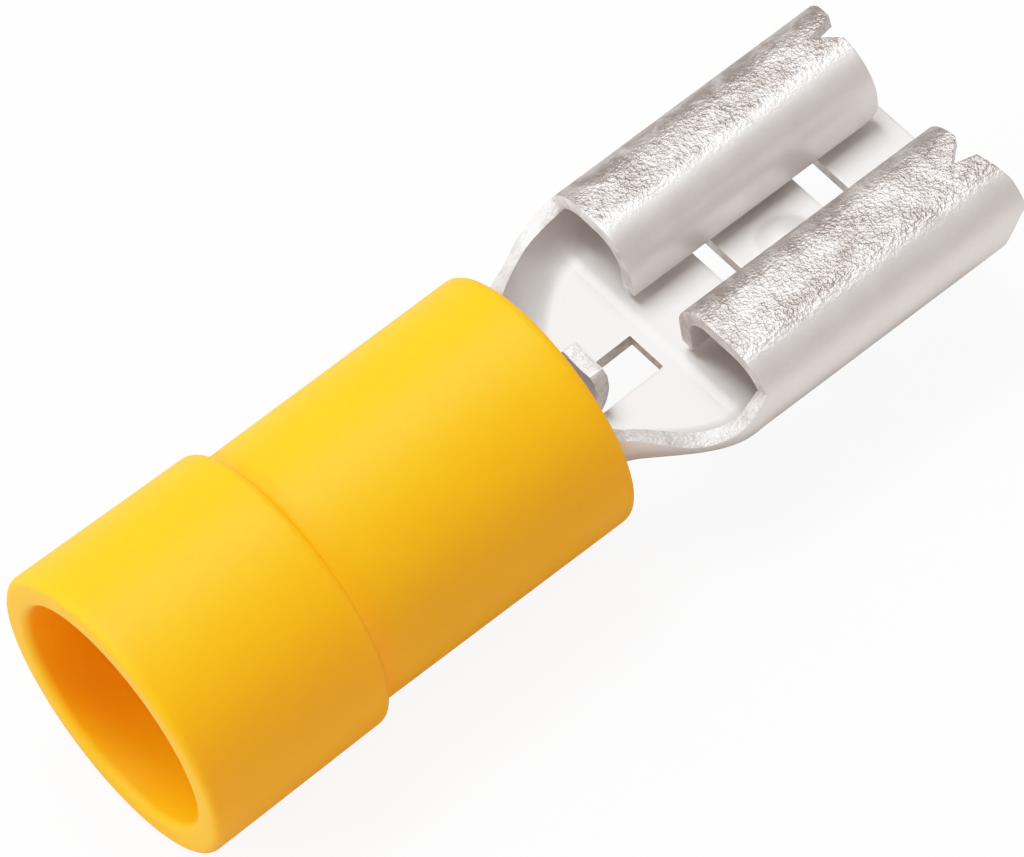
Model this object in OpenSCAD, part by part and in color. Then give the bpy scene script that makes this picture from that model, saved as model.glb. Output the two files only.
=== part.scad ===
// Push-on female spade terminal for a 6.3 mm flat tab and 4 to 6 mm2 wire.
// A stamped and rolled sheet terminal, a support sleeve round its crimp barrel, and an
// insulating sleeve over both.
// X runs along the terminal, from the wire's end to the tab's end, and Z is up out of the
// open side of the receptacle. The origin is the middle of the crimp barrel, on its axis. The
// modules measure X from the front face of the insulating sleeve, and each piece is then
// carried to the origin by to_origin. Millimetres.

/* [Sheet] */
// Thickness of the sheet that the terminal is stamped from
sheet_t = 0.4; // [0.3:0.05:0.5]

/* [Receptacle] */
// How far the receptacle's tip stands in front of the insulating sleeve
tip_x = 11.8; // [11:0.1:13]
// Length of the rolled sides
roll_len = 8.1; // [7.4:0.1:9]
// Outside width across both rolls
recep_w = 8.3; // [8:0.1:9.5]
// Outside height, from the underside of the floor to the crown of a roll
recep_h = 2.58; // [2.4:0.02:3]
// Outside radius of the inward curl of a roll
curl_r = 1.2; // [1:0.05:1.3]
// Open gap between the two rolls
roll_gap = 1.8; // [1.4:0.1:2.2]
// How far the gap lies to the left of the axis, because the blank sits off centre in the die
gap_shift = 0.2; // [0:0.05:0.3]
// Gap under the lip of a roll, above the floor
lip_gap = 0.3; // [0.2:0.05:0.6]
// How far the front edge of a roll runs back between its notch and its lip
lip_setback = 0.35; // [0.1:0.05:0.6]
// Radius on the lower front corner of a lip
lip_corner_r = 0.4; // [0.2:0.05:0.5]
// Length of the notch in the front edge of each roll
notch_len = 0.87; // [0.5:0.01:1]
// Width of that notch at the front edge
notch_w = 0.76; // [0.4:0.02:0.9]
// Distance from the axis to the middle of a notch, before the gap's shift
notch_y = 2.45; // [2.3:0.05:2.6]
// Depth of the relief cut into the front edge where the floor bends up into each wall
relief_len = 0.75; // [0.4:0.05:0.9]
// Width of that relief round the bend
relief_w = 2; // [1.4:0.1:2.4]
// Where the middle of that relief lies on the bend's arc, in degrees under level
relief_deg = 33; // [20:1:50]

/* [Floor] */
// Distance from the front face of the insulating sleeve to the crease where the floor levels out
crease_x = 3.5; // [3:0.05:3.7]
// How far the floor's front edge lies behind the tip
floor_back = 0.08; // [0:0.02:0.3]
// Distance from the tip back to the front slot in the floor
front_slot_back = 2.2; // [1.6:0.1:2.4]
// Length of the front slot along the terminal
front_slot_len = 0.8; // [0.5:0.05:1.2]
// Distance from the rear end of the rolls to the rear slot
rear_slot_ahead = 1.95; // [1.5:0.05:2.3]
// Length of the rear slot along the terminal
rear_slot_len = 0.55; // [0.4:0.05:0.9]
// Width of both slots across the floor
slot_w = 4.4; // [3.6:0.1:4.8]
// Height of the retaining dimple above the floor
dimple_h = 0.22; // [0.1:0.02:0.3]
// Radius of the dimple where it leaves the floor
dimple_r = 0.75; // [0.5:0.05:0.9]

/* [Crimp barrel] */
// Inside diameter of the crimp barrel
barrel_d = 3.5; // [3.3:0.1:3.8]
// Length of the crimp barrel
barrel_len = 6.6; // [5.5:0.1:7]
// How far the barrel's front end lies inside the insulating sleeve
barrel_in = 0.8; // [0.6:0.1:1]
// Width of the brazed seam's groove along the top of the barrel
seam_w = 0.12; // [0.08:0.02:0.2]

/* [Wire stop] */
// Distance from the front face of the insulating sleeve to the front end of the tongue's window
window_front = 3.03; // [2.8:0.01:3.2]
// Radius in the corners of that window
window_r = 0.1; // [0.05:0.01:0.2]
// Width of the tongue that is bent up to stop the wire
stop_w = 1.26; // [1:0.02:1.4]
// How far the tongue lies to the left of the axis
stop_shift = -0.12; // [-0.2:0.02:0.2]
// Distance from the front face of the insulating sleeve to the front of the tongue
stop_x = 1.44; // [1.3:0.02:1.6]
// Height of the tongue's top edge above the barrel's axis
stop_top = 0.5; // [0.2:0.05:0.7]
// Outside radius of the tongue's bend
stop_bend_r = 1.24; // [1.1:0.02:1.3]
// Radius on the tongue's top corners
stop_corner_r = 0.25; // [0.1:0.05:0.4]

/* [Support sleeve] */
// Wall of the support sleeve
support_t = 0.6; // [0.5:0.05:0.65]
// Length of the support sleeve
support_len = 6.4; // [5.5:0.1:6.6]

/* [Insulating sleeve] */
// Overall length of the insulating sleeve
sleeve_len = 13.3; // [12.8:0.1:14.5]
// Length of its wider rear part
rear_len = 5.45; // [5:0.05:5.6]
// Wall of its front part
front_wall = 0.75; // [0.6:0.01:0.9]
// Wall of its rear part, at the mouth
mouth_wall = 0.85; // [0.7:0.01:1]
// Growth in radius from the front part to the rear part
rear_step = 0.35; // [0.25:0.01:0.5]
// Growth in radius from the shoulder back to the mouth
mouth_flare = 0.09; // [0:0.01:0.2]
// Radius on the edges of the two ends
rim_r = 0.17; // [0.1:0.01:0.25]
// Radius on the edge of the outer step
step_r = 0.16; // [0.08:0.01:0.25]
// Length of the sloped step in the bore
bore_step = 0.35; // [0.2:0.05:0.5]

/* [Fits] */
// Radial clearance between the sleeves, and between the barrel and its support sleeve
fit = 0.03; // [0.01:0.01:0.05]

/* [Hidden] */
$fn = 64;

metal = "#d9d7d4";
copper = "#c9a27a";
yellow = "#f7c912";
eps = 0.01;                    // how far a cutter runs past the face that it opens

// Barrel, support sleeve and insulating sleeve share one set of radii.
barrel_r = barrel_d / 2 + sheet_t;
support_in_r = barrel_r + fit;
support_r = support_in_r + support_t;
front_bore_r = support_r + fit;
front_r = front_bore_r + front_wall;
shoulder_r = front_r + rear_step;
mouth_r = shoulder_r + mouth_flare;
rear_bore_r = mouth_r - mouth_wall;
step_toe = 0.06;               // how far the outer step's foot stands out of the front part
barrel_front = -barrel_in;
barrel_rear = barrel_front - barrel_len;
support_front = barrel_front - (barrel_len - support_len) / 2;
to_origin = [-(barrel_front + barrel_rear) / 2, 0, 0];

// Receptacle: a flat floor, and on each side a half-round wall, a crown, a curl and a lip.
roll_x = tip_x - roll_len;
wall_r = recep_h / 2;
half_floor = recep_w / 2 - wall_r;
axis_drop = 0.05;              // the receptacle's middle height lies this far under the barrel's axis
wall_z = -axis_drop;
floor_z = wall_z - wall_r + sheet_t;
crown_z = wall_z + wall_r;
lip_z = floor_z + lip_gap;
rear_slot_x = roll_x + rear_slot_ahead;
front_slot_x = tip_x - front_slot_back - front_slot_len;

// Neck: an open trough that changes the barrel's round section into the receptacle's.
neck_grow_x = roll_x - 0.45;   // where the trough has reached the receptacle's section
rise_x = barrel_in + 0.1;      // where its floor has reached the receptacle's floor
neck_slope = 2;                // degrees that the trough's floor then still falls to the rear
edge_low_x = 2;                // where the trough's side edges are lowest
edge_low = -13;                // their angle on the corner's arc there, in degrees
edge_mid_x = 0.5;              // where they level out behind that, and their angle there
edge_mid = 11;
edge_rear = 80;                // their angle at the barrel
edge_front = 24;               // their angle at the rolls
neck_steps = 18;
floor_steps = 3;
corner_steps = 11;
neck_seed = 0.04;              // half width of the floor where the trough leaves the barrel
skin = 0.01;                   // the trough's facets stay this far inside its neighbours' faces
end_crowding = 0.6;            // 0 spaces the sections evenly, 1 crowds them at the ends
overlap = 0.05;                // how far the trough runs on into the barrel and the receptacle

stop_x0 = stop_x - stop_bend_r;  // the tongue's bend is centred here, a little under the axis
stop_bend_drop = 0.1;
stop_bend_end = -78;           // angle on the bend's arc where the tongue leaves the floor
arc_steps = 6;                 // steps of a small rounded corner

function smooth(s) = let (c = max(0, min(1, s))) c * c * (3 - 2 * c);
function mix(a, b, s) = a + (b - a) * s;
function arc(c, r, a0, a1, n) =
    [for (i = [0 : n]) let (a = mix(a0, a1, i / n)) c + r * [cos(a), sin(a)]];

// The trough's outer section at x: half width of its flat floor, the two radii of its
// corner, the height of the corner's centre, and the angle that its side edge reaches.
function neck_spread(x) = smooth((x - barrel_front) / (neck_grow_x - barrel_front));
function neck_rise(x) = smooth((x - barrel_front) / (rise_x - barrel_front));
function neck_flat(x) = mix(neck_seed, half_floor, neck_spread(x));
function neck_corner_y(x) = mix(barrel_r - neck_seed, wall_r, neck_spread(x)) - skin;
function neck_centre_z(x) = wall_z * neck_spread(x);
function neck_bottom_z(x) =
    mix(-barrel_r, wall_z - wall_r, neck_rise(x)) + skin
    - tan(neck_slope) * max(0, crease_x - x) * neck_rise(x);
function edge_angle(x) =
    x > edge_low_x
        ? mix(edge_low, edge_front, pow((x - edge_low_x) / (roll_x - edge_low_x), 1.5))
        : mix(edge_low, edge_mid, smooth((edge_low_x - x) / (edge_low_x - edge_mid_x)))
          + (edge_rear - edge_mid)
            * pow(max(0, (edge_mid_x - x) / (edge_mid_x - barrel_front)), 1.5);

// A point of the trough's outer face at x. k runs from 0 in the middle of the floor to
// floor_steps at its edge, and on over corner_steps round the corner to the side edge.
function neck_half(x, k) =
    k <= floor_steps
        ? [x, neck_flat(x) * k / floor_steps, neck_bottom_z(x)]
        : let (a = mix(-90, edge_angle(x), (k - floor_steps) / corner_steps),
               cz = neck_centre_z(x))
          [x, neck_flat(x) + neck_corner_y(x) * cos(a), cz + (cz - neck_bottom_z(x)) * sin(a)];
// The sections' places along X: closer together at both ends, where the side edges turn most.
function neck_x(s) =
    mix(barrel_front - overlap, roll_x + overlap, s - sin(360 * s) / (2 * PI) * end_crowding);
function neck_point(x, k) = let (p = neck_half(x, abs(k))) [x, sign(k) * p[1], p[2]];

// The same point carried inwards within its section, far enough to leave the sheet's
// thickness square to the face. The two end sections are kept flat, so that they lie inside
// the walls of the barrel and the receptacle.
function unit(v) = v / norm(v);
function flat_end(x) = x <= barrel_front + eps || x >= roll_x - eps;
function neck_inner(x, k) =
    let (d = 0.02,
         along = flat_end(x) ? [1, 0, 0] : neck_point(x + d, k) - neck_point(x - d, k),
         across = neck_point(x, k + d) - neck_point(x, k - d),
         n = unit(cross(along, across)),
         p = neck_point(x, k) + (sheet_t - 2 * skin) / (n[1] * n[1] + n[2] * n[2]) * n)
    [x, p[1], p[2]];

module neck() {
    m = floor_steps + corner_steps;
    ring = 2 * (2 * m + 1);
    points = [
        for (i = [0 : neck_steps])
            let (x = neck_x(i / neck_steps))
            each concat([for (k = [-m : m]) neck_point(x, k)],
                        [for (k = [m : -1 : -m]) neck_inner(x, k)])
    ];
    sides = [
        for (i = [0 : neck_steps - 1], j = [0 : ring - 1])
            let (a = i * ring + j, b = i * ring + (j + 1) % ring)
            each [[a, b + ring, b], [a, a + ring, b + ring]]
    ];
    rear_cap = [
        for (j = [0 : ring / 2 - 2])
            each [[j, j + 1, ring - 2 - j], [j, ring - 2 - j, ring - 1 - j]]
    ];
    last = neck_steps * ring;
    front_cap = [for (f = rear_cap) [f[0] + last, f[2] + last, f[1] + last]];
    polyhedron(points = points, faces = concat(sides, rear_cap, front_cap), convexity = 6);
}

// Round cutter for the relief at the front of one bend, set square to the bend's arc.
module bend_relief(side) {
    cut_r = (relief_len * relief_len + relief_w * relief_w / 4) / (2 * relief_len);
    scale([1, side, 1])
        translate([tip_x - relief_len + cut_r, half_floor, wall_z])
            rotate([-relief_deg, 0, 0]) rotate([-90, 0, 0])
                translate([0, 0, wall_r / 2]) cylinder(r = cut_r, h = wall_r);
}

// Section of the receptacle on one side, drawn in Y and Z.
module roll_section(side) {
    face_y = roll_gap / 2 + side * gap_shift;      // inner face of the lip
    curl_y = face_y + curl_r;
    curl_z = crown_z - curl_r;
    scale([side, 1]) {
        intersection() {                            // half-round outer wall
            translate([half_floor, wall_z]) difference() {
                circle(wall_r);
                circle(wall_r - sheet_t);
            }
            translate([half_floor, wall_z - wall_r]) square([wall_r, 2 * wall_r]);
        }
        translate([curl_y, crown_z - sheet_t]) square([half_floor - curl_y, sheet_t]);
        intersection() {                            // quarter-round curl
            translate([curl_y, curl_z]) difference() {
                circle(curl_r);
                circle(curl_r - sheet_t);
            }
            translate([face_y, curl_z]) square([curl_r, curl_r]);
        }
        translate([face_y, lip_z]) square([sheet_t, curl_z - lip_z]);
        translate([0, floor_z - sheet_t]) square([half_floor, sheet_t]);
    }
}

// What the stamping takes off the front end of one roll: the notch at its crown, the
// slanted edge between notch and lip, and the lip's rounded lower corner.
module roll_front_cut(side) {
    face_y = roll_gap / 2 + side * gap_shift;
    mid_y = notch_y + side * gap_shift;
    inner_y = mid_y - notch_w / 2;
    reach = 2 * eps;
    scale([1, side, 1]) {
        translate([0, 0, lip_z - eps]) linear_extrude(crown_z - lip_z + 2 * eps) {
            polygon([[tip_x - notch_len, mid_y + notch_w / 4],
                     [tip_x + reach, mid_y + notch_w / 2],
                     [tip_x + reach, inner_y]]);
            polygon([[tip_x, inner_y], [tip_x + reach, inner_y],
                     [tip_x + reach, face_y - reach], [tip_x - lip_setback, face_y - reach]]);
        }
        translate([tip_x - lip_setback - lip_corner_r, face_y + sheet_t + eps, lip_z + lip_corner_r])
            rotate([90, 0, 0]) linear_extrude(sheet_t + 2 * eps) difference() {
                translate([0, -lip_corner_r - eps])
                    square([lip_setback + 2 * lip_corner_r, lip_corner_r + eps]);
                circle(lip_corner_r);
            }
    }
}

// Dimple pressed up out of the bridge between the two slots: a cap above, a hollow below.
module dimple(top_z) {
    ball_r = (dimple_r * dimple_r + dimple_h * dimple_h) / (2 * dimple_h);
    translate([(rear_slot_x + rear_slot_len + front_slot_x) / 2, 0, top_z + dimple_h - ball_r])
        sphere(ball_r);
}

module floor_slot(x, len) {
    translate([x, -slot_w / 2, floor_z - sheet_t - eps]) cube([len, slot_w, sheet_t + 2 * eps]);
}

module receptacle() {
    difference() {
        union() {
            difference() {
                translate([roll_x, 0, 0]) rotate([90, 0, 90]) linear_extrude(roll_len) {
                    roll_section(1);
                    roll_section(-1);
                }
                for (side = [1, -1]) {
                    roll_front_cut(side);
                    bend_relief(side);
                }
                translate([tip_x - floor_back, -half_floor, floor_z - sheet_t - eps])
                    cube([floor_back + eps, 2 * half_floor, sheet_t + 2 * eps]);
            }
            intersection() {
                dimple(floor_z);
                translate([roll_x, -half_floor, floor_z - sheet_t / 2])
                    cube([roll_len, 2 * half_floor, sheet_t]);
            }
        }
        intersection() {
            dimple(floor_z - sheet_t);
            translate([roll_x, -half_floor, floor_z - sheet_t - eps])
                cube([roll_len, 2 * half_floor, sheet_t]);
        }
        floor_slot(rear_slot_x, rear_slot_len);
        floor_slot(front_slot_x, front_slot_len);
    }
}

// Wire stop: the tongue from the neck's window, bent up round a wide radius.
module wire_stop() {
    bend_in_r = stop_bend_r - sheet_t;
    top = stop_top + stop_bend_drop;
    half_top = stop_w / 2 - stop_corner_r;
    corner_z = stop_top - stop_corner_r;
    intersection() {
        translate([stop_x0, stop_shift + stop_w / 2, -stop_bend_drop])
            rotate([90, 0, 0]) linear_extrude(stop_w)
                polygon(concat(
                    arc([0, 0], stop_bend_r, stop_bend_end, 0, 2 * arc_steps),
                    [[stop_bend_r, top], [bend_in_r, top]],
                    arc([0, 0], bend_in_r, 0, stop_bend_end, 2 * arc_steps)));
        translate([stop_x0, stop_shift, 0])
            rotate([90, 0, 90]) linear_extrude(stop_bend_r + eps)
                polygon(concat(
                    [[stop_w / 2, floor_z - stop_bend_r]],
                    arc([half_top, corner_z], stop_corner_r, 0, 90, arc_steps),
                    arc([-half_top, corner_z], stop_corner_r, 90, 180, arc_steps),
                    [[-stop_w / 2, floor_z - stop_bend_r]]));
    }
}

// Cutter for the window in the neck's floor that the tongue was bent up out of.
module neck_window() {
    half = stop_w / 2 - window_r;
    translate([0, stop_shift, floor_z - 3 * sheet_t]) linear_extrude(4 * sheet_t)
        polygon(concat(
            [[stop_x0, stop_w / 2], [stop_x0, -stop_w / 2]],
            arc([window_front - window_r, -half], window_r, -90, 0, arc_steps),
            arc([window_front - window_r, half], window_r, 0, 90, arc_steps)));
}

module crimp_barrel() {
    translate([barrel_rear, 0, 0]) rotate([0, 90, 0]) difference() {
        cylinder(r = barrel_r, h = barrel_len);
        translate([0, 0, -eps]) cylinder(d = barrel_d, h = barrel_len + 2 * eps);
        translate([-barrel_r - eps, -seam_w / 2, -eps])
            cube([sheet_t / 3, seam_w, barrel_len + 2 * eps]);
    }
}

module terminal() {
    color(metal) translate(to_origin) {
        crimp_barrel();
        difference() {
            neck();
            neck_window();
        }
        wire_stop();
        receptacle();
    }
}

module support_sleeve() {
    color(copper) translate(to_origin + [support_front - support_len, 0, 0])
        rotate([0, 90, 0]) difference() {
            cylinder(r = support_r, h = support_len);
            translate([0, 0, -eps]) cylinder(r = support_in_r, h = support_len + 2 * eps);
        }
}

// Half section of the insulating sleeve: distance from the axis, and height from its mouth.
module sleeve_section() {
    polygon(concat(
        arc([mouth_r - rim_r, rim_r], rim_r, -90, 0, arc_steps),
        arc([shoulder_r - step_r, rear_len - step_r], step_r, 0, 62, arc_steps),
        [[front_r + step_toe, rear_len], [front_r, rear_len + step_r]],
        arc([front_r - rim_r, sleeve_len - rim_r], rim_r, 0, 90, arc_steps),
        [[front_bore_r, sleeve_len], [front_bore_r, rear_len + bore_step], [rear_bore_r, rear_len]],
        arc([rear_bore_r + rim_r, rim_r], rim_r, 180, 270, arc_steps)));
}

module insulating_sleeve() {
    color(yellow) translate(to_origin + [-sleeve_len, 0, 0]) rotate([0, 90, 0])
        rotate_extrude() sleeve_section();
}

terminal();
support_sleeve();
insulating_sleeve();
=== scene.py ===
"""Looks of an insulated push-on spade terminal: a tin-plated receptacle that is stamped and
rolled from one strip of brass, a copper sleeve over its crimp barrel, and a stepped yellow
vinyl sleeve over both.

+X runs from the wire's end to the tab's end and +Z is up. The origin is the middle of the
crimp barrel, on its axis. Metres.
"""

import math

import bmesh
import bpy
import numpy as np
from mathutils import Matrix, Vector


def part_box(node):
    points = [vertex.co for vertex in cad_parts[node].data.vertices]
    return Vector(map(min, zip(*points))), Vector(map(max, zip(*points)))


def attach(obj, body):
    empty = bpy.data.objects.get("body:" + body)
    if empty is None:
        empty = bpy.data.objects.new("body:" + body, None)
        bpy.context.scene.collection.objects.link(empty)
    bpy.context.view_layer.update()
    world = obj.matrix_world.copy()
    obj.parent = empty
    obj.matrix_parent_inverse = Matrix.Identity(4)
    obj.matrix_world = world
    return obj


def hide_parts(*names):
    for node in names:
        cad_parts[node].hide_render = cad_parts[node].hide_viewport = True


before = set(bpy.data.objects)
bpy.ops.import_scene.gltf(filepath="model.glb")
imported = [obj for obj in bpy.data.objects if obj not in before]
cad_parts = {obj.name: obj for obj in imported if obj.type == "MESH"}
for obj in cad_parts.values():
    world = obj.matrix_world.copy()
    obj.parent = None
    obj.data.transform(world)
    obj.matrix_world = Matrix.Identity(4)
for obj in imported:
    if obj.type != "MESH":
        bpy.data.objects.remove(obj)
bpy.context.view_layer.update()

# ---------------------------------------------------------------------------------------------
# Camera: a long lens close to square on the barrel's axis, 54 degrees up and 30 degrees round
# to the wire's side, and rolled so that the terminal climbs to the right.

MM = 0.001
LOOK_UP = math.radians(54.18)
LOOK_ROUND = math.radians(30.02)
CAMERA_ROLL = math.radians(-11.63)
LOOK_FROM = 316.4 * MM
LOOK_AT = np.array([3.089, 0.0, 0.0]) * MM
AIM_SHIFT = np.array([0.0566, -0.1946]) * MM     # how far the aim lies right of and over it
FOCAL_LENGTH, SENSOR_WIDTH = 467.5, 36.0         # millimetres, as a camera takes them
NEAR, FAR = 10 * MM, 10.0

toward = np.array([
    -math.cos(LOOK_UP) * math.sin(LOOK_ROUND),
    -math.cos(LOOK_UP) * math.cos(LOOK_ROUND),
    math.sin(LOOK_UP),
])
level = np.array([math.cos(LOOK_ROUND), -math.sin(LOOK_ROUND), 0.0])
upward = np.cross(toward, level)
right = level * math.cos(CAMERA_ROLL) + upward * math.sin(CAMERA_ROLL)
over = np.cross(toward, right)

camera_data = bpy.data.cameras.new("camera")
camera_data.lens = FOCAL_LENGTH
camera_data.sensor_width = SENSOR_WIDTH
camera_data.clip_start = NEAR
camera_data.clip_end = FAR
camera = bpy.data.objects.new("camera", camera_data)
bpy.context.scene.collection.objects.link(camera)
place = LOOK_AT + right * AIM_SHIFT[0] + over * AIM_SHIFT[1] + toward * LOOK_FROM
turn = np.eye(4)
turn[:3, 0], turn[:3, 1], turn[:3, 2], turn[:3, 3] = right, over, toward, place
camera.matrix_world = Matrix(turn.tolist())
bpy.context.scene.camera = camera

# ---------------------------------------------------------------------------------------------
# Studio: a white table that keeps only a faint shadow, one broad soft box overhead, a second
# one low at the far side, and a dim warm room. The bright tones are rolled off softly.

WHITE_LEVEL = 2.0
TONES = ((0.1, 0.2), (0.2, 0.385), (0.35, 0.60), (0.5, 0.76), (0.75, 0.93))
TABLE_HALF = 0.6
TABLE_COLOUR = (0.62, 0.60, 0.585, 1)
TABLE_GLOW = 0.6                 # share of the table's look that is white whatever falls on it
PLAIN_WHITE = 2.4                # strength of that white, and of the backdrop's
ROOM_COLOUR, ROOM_LIGHT = (1.0, 0.91, 0.86, 1), 0.64

view = bpy.context.scene.view_settings
view.view_transform = "Standard"
view.use_curve_mapping = True
view.curve_mapping.white_level = (WHITE_LEVEL, WHITE_LEVEL, WHITE_LEVEL)
tone = view.curve_mapping.curves[3]
for level_in, level_out in TONES:
    tone.points.new(level_in, level_out)
view.curve_mapping.update()

lowest = min(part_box(node)[0].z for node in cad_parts)
floor_mesh = bpy.data.meshes.new("floor")
floor_mesh.from_pydata(
    [(-TABLE_HALF, -TABLE_HALF, lowest), (TABLE_HALF, -TABLE_HALF, lowest),
     (TABLE_HALF, TABLE_HALF, lowest), (-TABLE_HALF, TABLE_HALF, lowest)], [], [(0, 1, 2, 3)])
floor = bpy.data.objects.new("floor", floor_mesh)
bpy.context.scene.collection.objects.link(floor)

white = bpy.data.materials.new("floor_white")
white.use_nodes = True
nodes, links = white.node_tree.nodes, white.node_tree.links
nodes.remove(nodes["Principled BSDF"])
seen = nodes.new("ShaderNodeLightPath")
paper = nodes.new("ShaderNodeBsdfDiffuse")
paper.inputs["Color"].default_value = TABLE_COLOUR
glow = nodes.new("ShaderNodeEmission")
glow.inputs["Color"].default_value = (1.0, 1.0, 1.0, 1)
glow.inputs["Strength"].default_value = PLAIN_WHITE
share = nodes.new("ShaderNodeMath")
share.operation = "MULTIPLY"
share.inputs[1].default_value = TABLE_GLOW
table = nodes.new("ShaderNodeMixShader")
links.new(seen.outputs["Is Camera Ray"], share.inputs[0])
links.new(share.outputs[0], table.inputs["Fac"])
links.new(paper.outputs[0], table.inputs[1])
links.new(glow.outputs[0], table.inputs[2])
links.new(table.outputs[0], nodes["Material Output"].inputs["Surface"])
floor_mesh.materials.append(white)

world = bpy.data.worlds.new("room")
world.use_nodes = True
nodes, links = world.node_tree.nodes, world.node_tree.links
room = nodes["Background"]
room.inputs["Color"].default_value = ROOM_COLOUR
room.inputs["Strength"].default_value = ROOM_LIGHT
backdrop = nodes.new("ShaderNodeBackground")
backdrop.inputs["Strength"].default_value = PLAIN_WHITE
seen = nodes.new("ShaderNodeLightPath")
both = nodes.new("ShaderNodeMixShader")
links.new(seen.outputs["Is Camera Ray"], both.inputs["Fac"])
links.new(room.outputs[0], both.inputs[1])
links.new(backdrop.outputs[0], both.inputs[2])
links.new(both.outputs[0], nodes["World Output"].inputs["Surface"])
bpy.context.scene.world = world


def soft_light(name, spot, size, watts):
    """A square area light of that size and power at spot, turned towards the terminal."""
    data = bpy.data.lights.new(name, "AREA")
    data.size = size
    data.energy = watts
    light = bpy.data.objects.new(name, data)
    light.location = spot
    light.rotation_euler = light.location.to_track_quat("Z", "Y").to_euler()
    bpy.context.scene.collection.objects.link(light)


soft_light("overhead", (0.01, 0.13, 0.42), size=0.22, watts=2.3)
soft_light("far_side", (-0.38, 0.20, 0.20), size=0.28, watts=1.9)

# ---------------------------------------------------------------------------------------------
# Terminal: one strip of tin-plated brass, blanked out and rolled into a crimp barrel, an open
# trough with a bent-up wire stop, and a receptacle whose two sides curl over and down.

# The strip's outer face is worked out in millimetres, with X measured from the insulating
# sleeve's front face, and gets its thickness inwards. side is 1 for the half on the left of the
# axis, at +Y, and -1 for the one on the right.

FACE_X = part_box("insulating_sleeve")[1].x / MM
STRIP = 0.4
BARREL_REAR, BARREL_FRONT, ROLL_REAR, TIP = -7.4, -0.8, 3.7, 11.8
BARREL_R = 2.15

# the receptacle: a floor, two half-round walls, flat crowns, curls and lips
ROLL_R = 1.29                    # outer radius of the half-round walls
ROLL_Z = -0.05                   # height of their centres
HALF_FLOOR = 2.86
CROWN_Z = ROLL_Z + ROLL_R
FLOOR_Z = ROLL_Z - ROLL_R
CURL_R = 1.2
LIP_GAP = 0.3                    # between each lip's end and the floor
LIP_Z = FLOOR_Z + STRIP + LIP_GAP
LIP_Y = {1: 1.1, -1: 0.7}        # outer face of each lip
LIP_CORNER = 0.4
FLOOR_BACK = 0.08                # how far the floor's front edge stands back
BACK_ENDS, BACK_EASES = HALF_FLOOR - 0.1, 0.3
RELIEF_HALF, RELIEF_DEPTH, RELIEF_TURN = 1.0, 0.75, 33.0
NOTCH_Y = {1: 2.65, -1: 2.25}
NOTCH_HALF, NOTCH_LEN = 0.38, 0.87
# how far the tip stands back at the wall's top, at the notch's two corners and at the lip
SET_BACK = {1: (0.0, 0.08, 0.24, 0.35), -1: (0.0, 0.22, 0.24, 0.35)}
WALL_TOP = 145.0                 # degrees up the wall
REAR_SLOT, FRONT_SLOT, SLOT_HALF = (5.65, 6.2), (8.8, 9.6), 2.2
DIMPLE_X, DIMPLE_R, DIMPLE_HEIGHT = 7.5, 0.8, 0.22
BLOOM_REACH = {1: (85.0, 14.0), -1: (22.0, 75.0)}
BLOOM_FADE = 28.0

# the trough: it is flat in the middle and its corners are arcs
LEAST_FLAT = 0.04                # half its flat's width where it leaves the barrel
RISE_RUN = 1.7                   # length over which its floor comes up from the barrel's
FULL_WIDTH_X = ROLL_REAR - 0.45  # where it is as wide as the receptacle
SLANT, SLANT_X = 2.0, 3.5        # degrees that its floor falls towards the barrel, and from where
CREASE_X, CREASE_RUN, CREASE_DROP = 3.55, 0.22, 0.035
BELLY = {1: 0.27, -1: 0.0}       # how far its side edge bulges out
BELLY_GROWS, BELLY_FADES = (BARREL_FRONT, BARREL_FRONT + 1.4), (1.7, 3.3)
# the angle on the corner that its side edge reaches, from the barrel to the roll
BARREL_EDGE, STEEP_EDGE, LOW_EDGE, ROLL_EDGE = 80.0, 11.0, -13.0, 24.0
STEEP_X, LOW_X = 0.5, 2.0

# the wire stop: a tongue cut from the trough's floor, which leaves a window, and bent up
WINDOW = (0.32, 3.03)
STOP_Y = {1: 0.51, -1: 0.75}                         # its sides
STOP_CENTRE, STOP_R = np.array([0.2, -0.1]), 1.24    # its bend, in X and Z
STOP_JOINT = math.radians(-45.0)                     # where on the bend its root runs in
STOP_PULL = np.array([0.25, 0.09]), np.array([-0.22, -0.22])
STOP_RISE = 0.6
ROOT_END, BEND_END = 0.4, 0.75                       # shares of the way along it
STOP_FOOT = 0.3
STOP_CORNER, STOP_SCOOP, STOP_FALL = 0.25, 0.13, 0.05


def smooth(t):
    """0 below 0 and 1 above 1, with a soft S between: three t squared less two t cubed."""
    t = np.clip(t, 0.0, 1.0)
    return t * t * (3.0 - 2.0 * t)


def side_edge(x):
    """Angle on the trough's corner that its side edge reaches: steep down from the barrel, a
    soft S to its lowest, and up again into the roll. The ends go with the power 1.5 of X."""
    ahead = np.clip((x - LOW_X) / (ROLL_REAR - LOW_X), 0, 1) ** 1.5
    behind = smooth((LOW_X - x) / (LOW_X - STEEP_X))
    steep = np.clip((STEEP_X - x) / (STEEP_X - BARREL_FRONT), 0, 1) ** 1.5
    return np.where(x > LOW_X, LOW_EDGE + (ROLL_EDGE - LOW_EDGE) * ahead,
                    LOW_EDGE + (STEEP_EDGE - LOW_EDGE) * behind
                    + (BARREL_EDGE - STEEP_EDGE) * steep)


def trough_size(x):
    """How far the trough has grown from the barrel's section to the receptacle's, from 0 to 1
    in a soft S, with half its flat's width and the width of its corners there."""
    grow = smooth((x - BARREL_FRONT) / (FULL_WIDTH_X - BARREL_FRONT))
    flat = LEAST_FLAT + (HALF_FLOOR - LEAST_FLAT) * grow
    corner = BARREL_R - LEAST_FLAT + (ROLL_R - BARREL_R + LEAST_FLAT) * grow
    return grow, flat, corner


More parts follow.
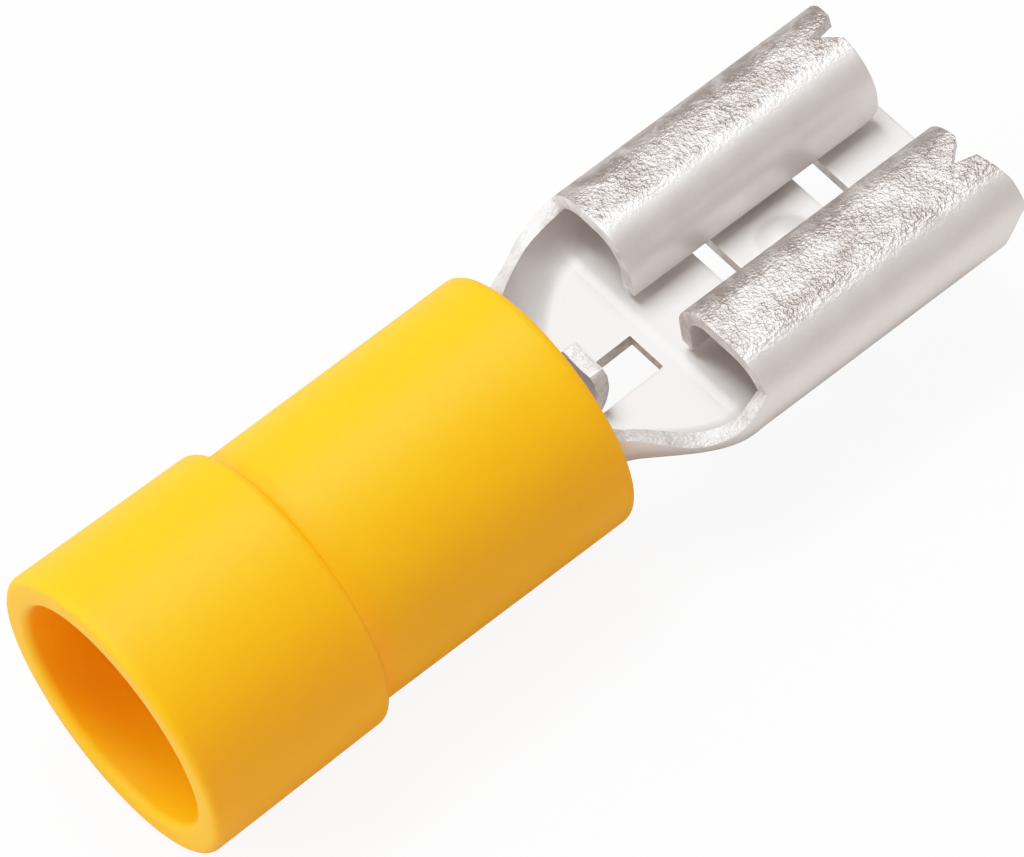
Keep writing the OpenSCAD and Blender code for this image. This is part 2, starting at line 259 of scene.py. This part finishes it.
def trough(x, q, side):
    """Outer face of the trough: q is 0 in the middle of the floor, 1 where the flat ends and 2
    at the side edge. Past 1 it is an arc from straight down to the side edge's angle, which the
    belly widens with the square of the way up."""
    grow, flat, corner = trough_size(x)
    rise = smooth((x - BARREL_FRONT) / RISE_RUN)
    slant = math.tan(math.radians(SLANT)) * np.maximum(0.0, SLANT_X - x)
    crease = CREASE_DROP * smooth((CREASE_X - x) / CREASE_RUN)
    bottom = (FLOOR_Z + BARREL_R) * rise - BARREL_R - (slant + crease) * rise
    centre = ROLL_Z * grow
    belly = (smooth((x - BELLY_GROWS[0]) / (BELLY_GROWS[1] - BELLY_GROWS[0]))
             * (1.0 - smooth((x - BELLY_FADES[0]) / (BELLY_FADES[1] - BELLY_FADES[0]))))
    up = np.clip(q - 1.0, 0, 1)
    corner = corner + BELLY[side] * belly * up ** 2
    a = np.radians(-90.0 + up * (side_edge(x) + 90.0))
    y = np.where(q < 1.0, flat * q, flat + corner * np.cos(a))
    z = np.where(q < 1.0, bottom, centre + (centre - bottom) * np.sin(a))
    return side * y, z


def column_at(x, y):
    """The q at which the trough's outer face, without its belly, stands y from the axis: the
    share of the flat, or 1 and the share of the arc."""
    _, flat, corner = trough_size(x)
    a = -np.degrees(np.arccos(np.clip((y - flat) / corner, 0, 1)))
    return np.where(y < flat, y / flat, 1.0 + (a + 90.0) / (side_edge(x) + 90.0))


def roll_marks(side):
    """Where along the strip, from the middle of the floor, its crown, its curl and its lip
    start, and where the lip ends."""
    crown = HALF_FLOOR + math.pi * ROLL_R
    curl = crown + HALF_FLOOR - LIP_Y[side] - CURL_R
    lip = curl + math.pi / 2 * CURL_R
    return crown, curl, lip, lip + CROWN_Z - CURL_R - LIP_Z


def roll(s, side):
    """Outer face of the receptacle's section: s runs along the strip from the middle of the
    floor, up the wall's half circle, straight over the crown, round the curl's quarter circle
    and straight down the lip."""
    crown, curl, lip, _ = roll_marks(side)
    a = (s - HALF_FLOOR) / ROLL_R - math.pi / 2
    b = (s - curl) / CURL_R + math.pi / 2
    spans = [s < HALF_FLOOR, s < crown, s < curl, s < lip]
    y = np.select(spans, [s, HALF_FLOOR + ROLL_R * np.cos(a), HALF_FLOOR + crown - s,
                          LIP_Y[side] + CURL_R + CURL_R * np.cos(b)], LIP_Y[side])
    z = np.select(spans, [FLOOR_Z, ROLL_Z + ROLL_R * np.sin(a), CROWN_Z,
                          CROWN_Z - CURL_R + CURL_R * np.sin(b)], CROWN_Z - CURL_R - (s - lip))
    return side * y, z


def notch_marks(side):
    """Where along the strip the V-notch has its outer corner, its apex and its inner corner."""
    middle = roll_marks(side)[0] + HALF_FLOOR - NOTCH_Y[side]
    return middle - NOTCH_HALF, middle - NOTCH_HALF / 2, middle + NOTCH_HALF


def front_edge(s, side):
    """How far forward the blank reaches: the floor, a relief on the wall that is cut as part of
    a circle, the V-notch in the crown, a slant back to the lip, and the lip's quarter circle."""
    crown, _, _, end = roll_marks(side)
    outer, apex, inner = notch_marks(side)
    a = (s - HALF_FLOOR) / ROLL_R - math.pi / 2
    across = np.clip(ROLL_R * np.sin(a + math.radians(RELIEF_TURN)), -RELIEF_HALF, RELIEF_HALF)
    relief_r = (RELIEF_HALF ** 2 + RELIEF_DEPTH ** 2) / (2 * RELIEF_DEPTH)
    relief = np.sqrt(relief_r ** 2 - across ** 2) - (relief_r - RELIEF_DEPTH)
    tip = TIP - np.where((s > HALF_FLOOR) & (s < crown), relief, 0.0)
    tip = tip - FLOOR_BACK * (1.0 - smooth((s - BACK_ENDS) / BACK_EASES))
    wall_top = HALF_FLOOR + math.radians(WALL_TOP) * ROLL_R
    back = np.interp(s, (wall_top, outer, inner, end), SET_BACK[side])
    notch = np.clip(np.minimum((s - outer) / (apex - outer), (inner - s) / (inner - apex)), 0, 1)
    d = np.clip(s - (end - LIP_CORNER), 0, LIP_CORNER)
    corner = LIP_CORNER - np.sqrt(LIP_CORNER ** 2 - d ** 2)
    return tip - back - notch * (NOTCH_LEN - back) - corner


def crown_bloom(s, side):
    """Where the plating is crystalline: over the crown, and down its outer and inner side until
    the strip has turned by the degrees in BLOOM_REACH, with a soft S to nothing."""
    crown, curl, _, _ = roll_marks(side)
    reach_out, reach_in = BLOOM_REACH[side]
    outward = np.degrees((crown - s) / ROLL_R)
    inward = np.degrees((s - curl) / CURL_R)
    return np.minimum(1.0 - smooth((outward - reach_out) / BLOOM_FADE + 0.5),
                      1.0 - smooth((inward - reach_in) / BLOOM_FADE + 0.5))


def stations(*parts):
    """Even steps between the given places: the start, then each next place and its steps."""
    line = [np.array([parts[0]], float)]
    for stop, steps in zip(parts[1::2], parts[2::2]):
        line.append(np.linspace(line[-1][-1], stop, steps + 1)[1:])
    return np.concatenate(line)


def between(rows, span):
    """Which gaps of an ordered list of stations lie inside a span."""
    middle = (rows[1:] + rows[:-1]) / 2
    return (middle > span[0]) & (middle < span[1])


FRONT_ROWS = 10.2                # ahead of this the rows spread to meet the blank's front edge
barrel_rows = stations(BARREL_REAR, BARREL_FRONT, 22)
trough_rows = stations(BARREL_FRONT, WINDOW[0], 14, WINDOW[1], 38, ROLL_REAR, 12)
roll_rows = stations(ROLL_REAR, REAR_SLOT[0], 16, REAR_SLOT[1], 5, FRONT_SLOT[0], 26,
                     FRONT_SLOT[1], 7, FRONT_ROWS, 6, TIP, 20)
stop_rows = stations(0.0, BEND_END, 25, 1.0, 7)
# from the axis at 0, past the wire stop's side at 1 and the slots' ends at 2, to the side edge
columns = stations(0.0, 1.0, 5, 2.0, 16, 3.0, 34)
roll_edge = HALF_FLOOR + math.radians(90.0 + ROLL_EDGE) * ROLL_R


def column_q(x, c, side):
    """The q of column c at x: even shares between the axis, the wire stop's side, the slots'
    ends and the side edge."""
    stop = column_at(x, STOP_Y[side])
    slot = (SLOT_HALF - STOP_Y[side]) / (2.0 * HALF_FLOOR - STOP_Y[side])
    past = np.where(c < 2.0, (c - 1.0) * slot, slot + (c - 2.0) * (1.0 - slot))
    return np.where(c < 1.0, stop * c, stop + (2.0 - stop) * past)


def column_s(c, side):
    """Where along the strip column c lies in the receptacle."""
    q = column_q(np.full_like(c, ROLL_REAR), c, side)
    return np.where(q < 1, q * HALF_FLOOR, HALF_FLOOR + (q - 1) * (roll_edge - HALF_FLOOR))


def reach(x, s, side):
    """x, with the rows ahead of FRONT_ROWS stretched evenly to the blank's front edge."""
    stretch = (front_edge(s, side) - FRONT_ROWS) / (TIP - FRONT_ROWS)
    return np.where(x > FRONT_ROWS, FRONT_ROWS + (x - FRONT_ROWS) * stretch, x)


strip_points, strip_faces, strip_bloom = [], [], []


def patch(x, y, z, keep=None, bloom=0.0):
    """Adds one grid of the strip's outer face. Rows run along X and columns from the right side
    to the left, so that the faces point away from the trough; keep leaves out holes, and bloom
    says how far the plating is crystalline there."""
    rows, across = x.shape
    start = sum(len(p) for p in strip_points)
    strip_points.append(np.stack([x, y, z], 2).reshape(-1, 3))
    strip_bloom.append(np.broadcast_to(bloom, x.shape).ravel())
    i, j = np.meshgrid(np.arange(rows - 1), np.arange(across - 1), indexing="ij")
    if keep is not None:
        i, j = i[keep], j[keep]
    corner = start + i.ravel() * across + j.ravel()
    strip_faces.append(np.stack([corner, corner + 1, corner + across + 1, corner + across], 1))


for side in (1, -1):
    # trough, around the window
    X, C = np.meshgrid(trough_rows, columns[::side], indexing="ij")
    Y, Z = trough(X, column_q(X, C, side), side)
    window = between(trough_rows, WINDOW)[:, None] & between(columns, (0.0, 1.0))[::side]
    patch(X, Y, Z, ~window)
    # floor and lower wall of the receptacle, around the slots
    X, C = np.meshgrid(roll_rows, columns[::side], indexing="ij")
    S = column_s(C, side)
    X = reach(X, S, side)
    Y, Z = roll(S, side)
    Z = Z + DIMPLE_HEIGHT * (1 - smooth(np.hypot(X - DIMPLE_X, Y) / DIMPLE_R))
    in_slots = between(roll_rows, REAR_SLOT) | between(roll_rows, FRONT_SLOT)
    slots = in_slots[:, None] & between(columns, (0.0, 2.0))[::side]
    patch(X, Y, Z, ~slots)
    # upper wall, crown, curl and lip
    outer, apex, inner = notch_marks(side)
    end = roll_marks(side)[3]
    upper = stations(roll_edge, outer, 14, apex, 4, inner, 10, end - LIP_CORNER, 18, end, 7)
    X, S = np.meshgrid(roll_rows, upper[::side], indexing="ij")
    X = reach(X, S, side)
    Y, Z = roll(S, side)
    patch(X, Y, Z, bloom=crown_bloom(S, side))
    # barrel, up to the side edge's angle and on to its top
    X, C = np.meshgrid(barrel_rows, columns[::side], indexing="ij")
    front = np.full_like(X, BARREL_FRONT)
    Y, Z = trough(front, column_q(front, C, side), side)
    patch(X, Y, Z)
    top = np.radians(np.linspace(BARREL_EDGE, 90.0, 4))
    X, A = np.meshgrid(barrel_rows, top[::side], indexing="ij")
    patch(X, side * BARREL_R * np.cos(A), BARREL_R * np.sin(A))


def wire_stop_path(t):
    """Outer face of the wire stop in X and Z, for t from 0 to 1: up to ROOT_END a cubic curve
    out of the floor, up to BEND_END an arc round the bend, and then straight up."""
    floor_z = trough(np.array([WINDOW[0]]), np.array([0.0]), 1)[1][0]
    root = np.array([WINDOW[0], floor_z])
    joint = STOP_CENTRE + STOP_R * np.array([math.cos(STOP_JOINT), math.sin(STOP_JOINT)])
    u = np.clip(t / ROOT_END, 0, 1)[..., None]
    lead = ((1 - u) ** 3 * root + 3 * (1 - u) ** 2 * u * (root + STOP_PULL[0])
            + 3 * (1 - u) * u ** 2 * (joint + STOP_PULL[1]) + u ** 3 * joint)
    a = STOP_JOINT * (1 - np.clip((t - ROOT_END) / (BEND_END - ROOT_END), 0, 1))
    bend = STOP_CENTRE + STOP_R * np.stack([np.cos(a), np.sin(a)], -1)
    rise = np.clip((t - BEND_END) / (1 - BEND_END), 0, 1)[..., None]
    return np.where(t[..., None] < ROOT_END, lead, bend + rise * np.array([0.0, STOP_RISE]))


stop_middle = (STOP_Y[1] - STOP_Y[-1]) / 2
stop_half = (STOP_Y[1] + STOP_Y[-1]) / 2
for side in (1, -1):
    T, C = np.meshgrid(stop_rows, columns[columns <= 1.0][::side], indexing="ij")
    X, Z = np.moveaxis(wire_stop_path(T), -1, 0)
    # its foot meets the floor
    start = np.full_like(T, WINDOW[0])
    floor_y, floor_z = trough(start, column_q(start, C, side), side)
    foot = 1 - smooth(T / STOP_FOOT)
    Y = floor_y * foot + side * STOP_Y[side] * C * (1 - foot)
    Z = Z + (floor_z - Z[0, 0]) * foot
    # its top has rounded corners, a shallow scoop and a fall to the right
    d = np.clip(np.abs(Y - stop_middle) - (stop_half - STOP_CORNER), 0, STOP_CORNER)
    across = np.clip((Y - stop_middle) / stop_half, -1, 1)
    corner = STOP_CORNER - np.sqrt(STOP_CORNER ** 2 - d ** 2)
    drop = corner + STOP_SCOOP * (1 - across ** 2) + STOP_FALL * (1 - across)
    patch(X, Y, Z - drop * np.clip((T - BEND_END) / (1 - BEND_END), 0, 1))

MERGE = 0.002 * MM
EDGE_WEAR = 0.035 * MM

points = np.concatenate(strip_points)
points[:, 0] += FACE_X
mesh = bpy.data.meshes.new("terminal_strip")
mesh.from_pydata((points * MM).tolist(), [], np.concatenate(strip_faces).tolist())
crystalline = mesh.attributes.new("bloom", "FLOAT", "POINT")
crystalline.data.foreach_set("value", np.concatenate(strip_bloom))
work = bmesh.new()
work.from_mesh(mesh)
bmesh.ops.remove_doubles(work, verts=work.verts, dist=MERGE)
work.to_mesh(mesh)
work.free()
mesh.polygons.foreach_set("use_smooth", np.ones(len(mesh.polygons), bool))
terminal = bpy.data.objects.new("terminal_strip", mesh)
bpy.context.scene.collection.objects.link(terminal)

# the cut edges take the second material and the inner face the third
thick = terminal.modifiers.new("strip thickness", "SOLIDIFY")
thick.thickness = STRIP * MM
thick.offset = -1.0
thick.use_even_offset = True
thick.use_quality_normals = True
thick.material_offset_rim = 1
thick.material_offset = 2
worn = terminal.modifiers.new("worn edges", "BEVEL")
worn.width = EDGE_WEAR
worn.segments = 2
worn.limit_method = "ANGLE"
worn.angle_limit = math.radians(50)


def effect(name, inputs, outputs):
    """A new shader group on a vector Position: inputs are its numbers with their values, and
    outputs are its results. Gives the group, its input node and its output node."""
    group = bpy.data.node_groups.new(name, "ShaderNodeTree")
    group.interface.new_socket("Position", in_out="INPUT", socket_type="NodeSocketVector")
    for key, value in inputs.items():
        socket = group.interface.new_socket(key, in_out="INPUT", socket_type="NodeSocketFloat")
        socket.default_value = value
    for key in outputs:
        group.interface.new_socket(key, in_out="OUTPUT", socket_type="NodeSocketFloat")
    return group, group.nodes.new("NodeGroupInput"), group.nodes.new("NodeGroupOutput")


def fine_mottle():
    """Shader group for the small unevenness of a made surface. Soft clouds and fine grain, each
    a noise on the position in millimetres, are mixed by Fine; out comes their level from 0 to 1
    as a mask, and the same level as a height."""
    group, entry, leave = effect("fine_mottle", {"Clouds": 0.8, "Grain": 9.0, "Fine": 0.4},
                                 ("Mask", "Height"))
    nodes, links = group.nodes, group.links
    clouds, grain = nodes.new("ShaderNodeTexNoise"), nodes.new("ShaderNodeTexNoise")
    clouds.inputs["Detail"].default_value = 3.0
    grain.inputs["Detail"].default_value = 2.0
    level = nodes.new("ShaderNodeMix")
    level.data_type = "FLOAT"
    for texture, key in ((clouds, "Clouds"), (grain, "Grain")):
        links.new(entry.outputs["Position"], texture.inputs["Vector"])
        links.new(entry.outputs[key], texture.inputs["Scale"])
    links.new(entry.outputs["Fine"], level.inputs["Factor"])
    links.new(clouds.outputs["Fac"], level.inputs["A"])
    links.new(grain.outputs["Fac"], level.inputs["B"])
    for key in ("Mask", "Height"):
        links.new(level.outputs["Result"], leave.inputs[key])
    return group


def tin_bloom():
    """Shader group for crystalline tin, on the position in millimetres: blotches with ragged
    borders where the crystals are dull, and grains a tenth of a millimetre across that are
    raised everywhere. Out come the grains' height and the blotches' mask, faded by Amount."""
    group, entry, leave = effect("tin_bloom", {"Grains": 9.0, "Blotches": 1.1, "Amount": 1.0},
                                 ("Height", "Pits"))
    nodes, links = group.nodes, group.links
    grains, blotches = nodes.new("ShaderNodeTexVoronoi"), nodes.new("ShaderNodeTexNoise")
    grains.inputs["Detail"].default_value = 1.5
    grains.inputs["Roughness"].default_value = 0.6
    blotches.inputs["Detail"].default_value = 7.0
    blotches.inputs["Roughness"].default_value = 0.78
    blotches.inputs["Distortion"].default_value = 0.5
    raised, dull = nodes.new("ShaderNodeMath"), nodes.new("ShaderNodeMath")
    raised.operation, dull.operation = "MULTIPLY", "MULTIPLY_ADD"
    dull.inputs[1].default_value = 0.45
    ragged = nodes.new("ShaderNodeMapRange")
    ragged.inputs["From Min"].default_value = 0.68
    ragged.inputs["From Max"].default_value = 1.02
    for texture, key in ((grains, "Grains"), (blotches, "Blotches")):
        links.new(entry.outputs["Position"], texture.inputs["Vector"])
        links.new(entry.outputs[key], texture.inputs["Scale"])
    links.new(grains.outputs["Distance"], raised.inputs[0])
    links.new(entry.outputs["Amount"], raised.inputs[1])
    links.new(entry.outputs["Amount"], dull.inputs[0])
    links.new(blotches.outputs["Fac"], dull.inputs[2])
    links.new(dull.outputs[0], ragged.inputs["Value"])
    links.new(raised.outputs[0], leave.inputs["Height"])
    links.new(ragged.outputs["Result"], leave.inputs["Pits"])
    return group


MOTTLE = fine_mottle()
BLOOM = tin_bloom()
PITTED = (0.36, 0.33, 0.315, 1)  # what a pit leaves of the plating's colour


def millimetres(material):
    """The piece's Object coordinates, in millimetres."""
    nodes = material.node_tree.nodes
    place, scale = nodes.new("ShaderNodeTexCoord"), nodes.new("ShaderNodeMapping")
    scale.inputs["Scale"].default_value = (1 / MM, 1 / MM, 1 / MM)
    material.node_tree.links.new(place.outputs["Object"], scale.inputs["Vector"])
    return scale.outputs["Vector"]


def ramp(material, source, low, high):
    """Carries a level from 0 to 1 into the range low to high; both are numbers or colours."""
    mix = material.node_tree.nodes.new("ShaderNodeMix")
    mix.data_type = "RGBA" if isinstance(low, tuple) else "FLOAT"
    a, b = [socket for socket in mix.inputs if socket.enabled and socket.name in ("A", "B")]
    a.default_value, b.default_value = low, high
    material.node_tree.links.new(source, mix.inputs["Factor"])
    return next(socket for socket in mix.outputs if socket.enabled)


def mottled_metal(name, dull, bright, rough, crystals, bump, metallic):
    """Bare or plated metal. The colour goes from dull to bright and the roughness over its range
    with the mottle, and pits of the bloom darken it. crystals is how far it is crystalline: a
    number, or the name of the attribute that says so. bump is the bloom's depth in mm. Matt
    plating scatters as well as it mirrors, so its metallic is under 1."""
    metal = bpy.data.materials.new(name)
    metal.use_nodes = True
    nodes, links = metal.node_tree.nodes, metal.node_tree.links
    shader = nodes["Principled BSDF"]
    shader.inputs["Metallic"].default_value = metallic
    position = millimetres(metal)
    mottle, bloom = nodes.new("ShaderNodeGroup"), nodes.new("ShaderNodeGroup")
    mottle.node_tree, bloom.node_tree = MOTTLE, BLOOM
    mottle.inputs["Clouds"].default_value = 1.3
    mottle.inputs["Grain"].default_value = 11.0
    mottle.inputs["Fine"].default_value = 0.35
    links.new(position, mottle.inputs["Position"])
    links.new(position, bloom.inputs["Position"])
    if isinstance(crystals, str):
        where = nodes.new("ShaderNodeAttribute")
        where.attribute_name = crystals
        links.new(where.outputs["Fac"], bloom.inputs["Amount"])
    else:
        bloom.inputs["Amount"].default_value = crystals
    pitted = nodes.new("ShaderNodeMix")
    pitted.data_type = "RGBA"
    pitted.blend_type = "MULTIPLY"
    links.new(bloom.outputs["Pits"], pitted.inputs["Factor"])
    links.new(ramp(metal, mottle.outputs["Mask"], dull, bright), pitted.inputs["A"])
    pitted.inputs["B"].default_value = PITTED
    links.new(pitted.outputs["Result"], shader.inputs["Base Color"])
    links.new(ramp(metal, mottle.outputs["Mask"], *rough), shader.inputs["Roughness"])
    dents = nodes.new("ShaderNodeBump")
    dents.inputs["Strength"].default_value = 0.8
    dents.inputs["Distance"].default_value = bump * MM
    links.new(bloom.outputs["Height"], dents.inputs["Height"])
    links.new(dents.outputs["Normal"], shader.inputs["Normal"])
    return metal


mesh.materials.append(mottled_metal(
    "tin_plate_outside", dull=(0.74, 0.70, 0.68, 1), bright=(0.90, 0.88, 0.87, 1),
    rough=(0.38, 0.52), crystals="bloom", bump=0.025, metallic=0.9))
mesh.materials.append(mottled_metal(
    "tin_plate_sheared_edge", dull=(0.66, 0.63, 0.61, 1), bright=(0.86, 0.84, 0.82, 1),
    rough=(0.48, 0.62), crystals=0.55, bump=0.03, metallic=0.5))
mesh.materials.append(mottled_metal(
    "tin_plate_inside", dull=(0.60, 0.575, 0.56, 1), bright=(0.70, 0.68, 0.67, 1),
    rough=(0.46, 0.58), crystals=0.06, bump=0.02, metallic=0.35))
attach(terminal, "root")
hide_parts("terminal")

# ---------------------------------------------------------------------------------------------
# Support sleeve: a short piece of plain copper tube, pressed over the crimp barrel inside the
# vinyl. Only its ends can be seen, deep in the mouth and at the front.

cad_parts["support_sleeve"].material_slots[0].material = mottled_metal(
    "drawn_copper", dull=(0.62, 0.36, 0.24, 1), bright=(0.86, 0.58, 0.44, 1),
    rough=(0.30, 0.48), crystals=0.1, bump=0.02, metallic=1.0)

# ---------------------------------------------------------------------------------------------
# Insulating sleeve: one stepped tube of soft yellow vinyl, moulded in one piece with rounded
# rims, and pressed over the support sleeve on the crimp barrel.

SLEEVE_REAR, SLEEVE_FRONT = [corner.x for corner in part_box("insulating_sleeve")]
MOUTH_R = 4.00 * MM
SHOULDER_R = 3.91 * MM
SHOULDER_X = SLEEVE_REAR + 5.45 * MM
FRONT_R = 3.56 * MM
REAR_BORE_R = 3.15 * MM
FRONT_BORE_R = 2.81 * MM
BORE_STEP = 0.35 * MM
RIM_ROUND = 0.24 * MM            # at the mouth, and half of it inside the front end
SHOULDER_ROUND = 0.26 * MM
CREASE_ROUND = 0.2 * MM          # in the corner under the shoulder
CREASE_AHEAD = 0.19 * MM         # how far ahead of the shoulder that round has its centre
NOSE_ROUND = 0.26 * MM
SPACING = 0.25 * MM
SEGMENTS = 224
VINYL_DEEP, VINYL_PALE = (1.0, 0.375, 0.001, 1), (1.0, 0.425, 0.002, 1)
VINYL_SLEEK, VINYL_MATT = 0.44, 0.58
VINYL_DENTS = 0.04 * MM
VINYL_DEPTH = 1.6 * MM           # how far light spreads in it


def bend(centre, radius, start, end, steps):
    """Points on an arc round centre, from the start angle to the end angle in degrees."""
    a = np.radians(np.linspace(start, end, steps + 1))
    return np.stack([centre[0] + radius * np.cos(a), centre[1] + radius * np.sin(a)], 1)


def spread(points, spacing):
    """The same outline with points added along its straight stretches, about spacing apart."""
    runs = [points[:1]]
    for a, b in zip(points[:-1], points[1:]):
        n = max(1, int(np.ceil(np.linalg.norm(b - a) / spacing)))
        runs.append(a + (b - a) * (np.arange(1, n + 1) / n)[:, None])
    return np.concatenate(runs)


def turned(name, profile, segments):
    """A closed ring-shaped solid: the closed profile (x, radius) turned round the X axis, with
    Y the radius times the sine and Z the radius times the cosine of the turn."""
    n = len(profile)
    a = np.linspace(0, 2 * np.pi, segments, endpoint=False)
    x = np.broadcast_to(profile[None, :, 0], (segments, n))
    y = profile[None, :, 1] * np.sin(a)[:, None]
    z = profile[None, :, 1] * np.cos(a)[:, None]
    points = np.stack([x, y, z], 2).reshape(-1, 3)
    i, j = np.meshgrid(np.arange(segments), np.arange(n), indexing="ij")
    i2, j2 = (i + 1) % segments, (j + 1) % n
    faces = np.stack([i * n + j, i * n + j2, i2 * n + j2, i2 * n + j], 2).reshape(-1, 4)
    mesh = bpy.data.meshes.new(name)
    mesh.from_pydata(points.tolist(), [], faces.tolist())
    mesh.polygons.foreach_set("use_smooth", np.ones(len(mesh.polygons), bool))
    mesh.update()
    piece = bpy.data.objects.new(name, mesh)
    bpy.context.scene.collection.objects.link(piece)
    return piece


sleeve_outline = spread(np.concatenate([
    bend((SLEEVE_REAR + RIM_ROUND, MOUTH_R - RIM_ROUND), RIM_ROUND, 180, 92, 8),
    bend((SHOULDER_X - SHOULDER_ROUND, SHOULDER_R - SHOULDER_ROUND), SHOULDER_ROUND, 88, 20, 8),
    bend((SHOULDER_X + CREASE_AHEAD, FRONT_R + CREASE_ROUND), CREASE_ROUND, 195, 270, 6),
    bend((SLEEVE_FRONT - NOSE_ROUND, FRONT_R - NOSE_ROUND), NOSE_ROUND, 90, 0, 8),
    bend((SLEEVE_FRONT - RIM_ROUND / 2, FRONT_BORE_R + RIM_ROUND / 2), RIM_ROUND / 2, 0, -90, 5),
    [(SHOULDER_X + BORE_STEP, FRONT_BORE_R), (SHOULDER_X, REAR_BORE_R)],
    bend((SLEEVE_REAR + RIM_ROUND, REAR_BORE_R + RIM_ROUND), RIM_ROUND, 270, 180, 8),
]), SPACING)
sleeve = turned("insulating_sleeve_vinyl", sleeve_outline, SEGMENTS)

vinyl = bpy.data.materials.new("yellow_vinyl")
vinyl.use_nodes = True
nodes, links = vinyl.node_tree.nodes, vinyl.node_tree.links
shader = nodes["Principled BSDF"]
unevenness = nodes.new("ShaderNodeGroup")
unevenness.node_tree = MOTTLE
unevenness.inputs["Clouds"].default_value = 0.55
unevenness.inputs["Grain"].default_value = 14.0
unevenness.inputs["Fine"].default_value = 0.3
mask = unevenness.outputs["Mask"]
links.new(millimetres(vinyl), unevenness.inputs["Position"])
links.new(ramp(vinyl, mask, VINYL_DEEP, VINYL_PALE), shader.inputs["Base Color"])
links.new(ramp(vinyl, mask, VINYL_SLEEK, VINYL_MATT), shader.inputs["Roughness"])
dents = nodes.new("ShaderNodeBump")
dents.inputs["Strength"].default_value = 0.25
dents.inputs["Distance"].default_value = VINYL_DENTS
links.new(unevenness.outputs["Height"], dents.inputs["Height"])
links.new(dents.outputs["Normal"], shader.inputs["Normal"])
shader.inputs["IOR"].default_value = 1.5
shader.inputs["Specular IOR Level"].default_value = 0.18
shader.subsurface_method = "BURLEY"
shader.inputs["Subsurface Weight"].default_value = 0.5
shader.inputs["Subsurface Radius"].default_value = (1.0, 0.2, 0.02)
shader.inputs["Subsurface Scale"].default_value = VINYL_DEPTH
sleeve.data.materials.append(vinyl)
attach(sleeve, "root")
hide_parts("insulating_sleeve")
